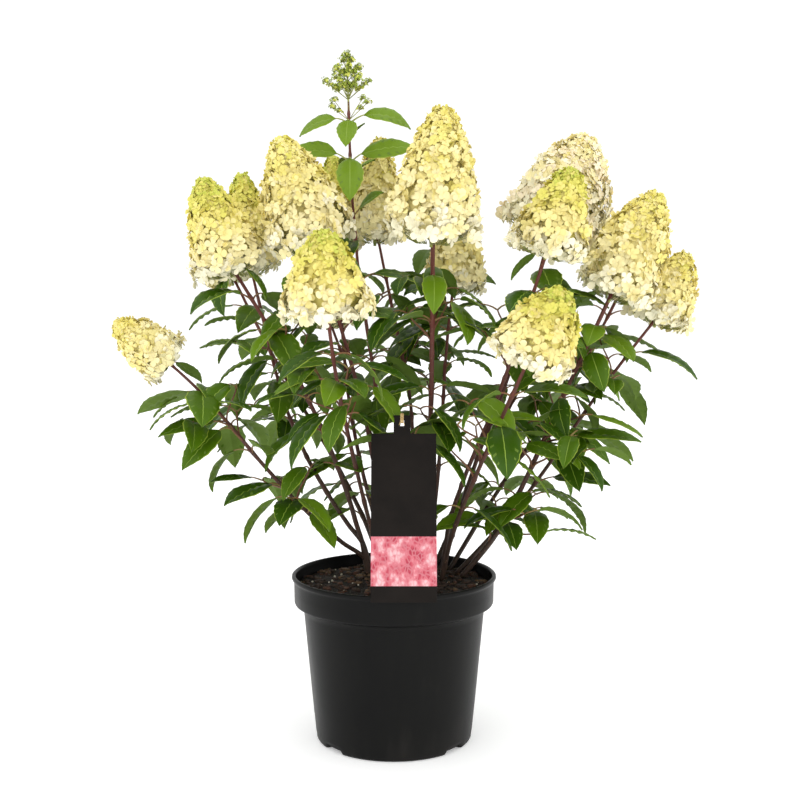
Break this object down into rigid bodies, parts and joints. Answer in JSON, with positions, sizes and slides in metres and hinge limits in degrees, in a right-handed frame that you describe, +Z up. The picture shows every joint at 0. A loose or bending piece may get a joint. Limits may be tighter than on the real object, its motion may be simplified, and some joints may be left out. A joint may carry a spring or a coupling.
{
  "type": "potted hydrangea shrub",
  "caption": "Cone-headed hydrangea shrub: cream and lime flower heads on tall red-brown canes above loose green leaves, in a round black nursery pot with a hanging tag.",
  "frame": {"origin": "centre of the pot's flat underside", "axes": "+Z up along the pot's axis; -Y towards the side the hanging tag faces; +X to the right seen from that side"},
  "size_m": [0.7344, 0.503, 0.856],
  "materials": {
    "pot_plastic": "satin",
    "compost": "matte",
    "tag_card": "satin",
    "tie_fibre": "matte",
    "bark": "satin",
    "bloom_lime": "matte",
    "bloom_cream": "matte",
    "bloom_white": "matte",
    "bloom_green": "matte",
    "leaf": "satin"
  },
  "bodies": {
    "root": {"pot": "pot_plastic", "soil": "compost", "tag": "tag_card", "tag_tie": "tie_fibre", "trunk_left": "bark", "cane_left": "bark", "cane_left_back": "bark", "cane_far_left": "bark", "cane_front_left": "bark", "cane_upper_left": "bark", "cane_inner_left": "bark", "cane_leader": "bark", "cane_inner_centre": "bark", "cane_centre": "bark", "cane_centre_back": "bark", "cane_front_right": "bark", "cane_right": "bark", "cane_right_tall": "bark", "cane_right_outer": "bark", "cane_far_right": "bark", "cane_back_left": "bark", "cane_back_low_left": "bark", "cane_back_centre": "bark", "cane_back_low_right": "bark", "cane_back_outer_right": "bark", "bloom_left": "bloom_lime", "bloom_left_back": "bloom_lime", "bloom_far_left": "bloom_cream", "bloom_front_left": "bloom_lime", "bloom_upper_left": "bloom_cream", "bloom_inner_left": "bloom_lime", "bloom_leader": "bloom_green", "bloom_inner_centre": "bloom_cream", "bloom_centre": "bloom_cream", "bloom_centre_back": "bloom_cream", "bloom_front_right": "bloom_lime", "bloom_right": "bloom_lime", "bloom_right_tall": "bloom_white", "bloom_right_outer": "bloom_cream", "bloom_far_right": "bloom_cream", "bloom_back_left": "bloom_cream", "bloom_back_low_left": "bloom_lime", "bloom_back_centre": "bloom_cream", "bloom_back_low_right": "bloom_white", "bloom_back_outer_right": "bloom_lime", "leaves_left_outer": "leaf", "leaves_left_upper": "leaf", "leaves_left_low": "leaf", "leaves_front_left": "leaf", "leaves_centre_upper": "leaf", "leaves_centre_low": "leaf", "leaves_right_upper": "leaf", "leaves_right_outer": "leaf", "leaves_right_mid": "leaf", "leaves_right_low": "leaf", "leaves_leader": "leaf", "leaves_back_left": "leaf", "leaves_back_centre": "leaf", "leaves_back_right": "leaf"}
  },
  "joints": []
}
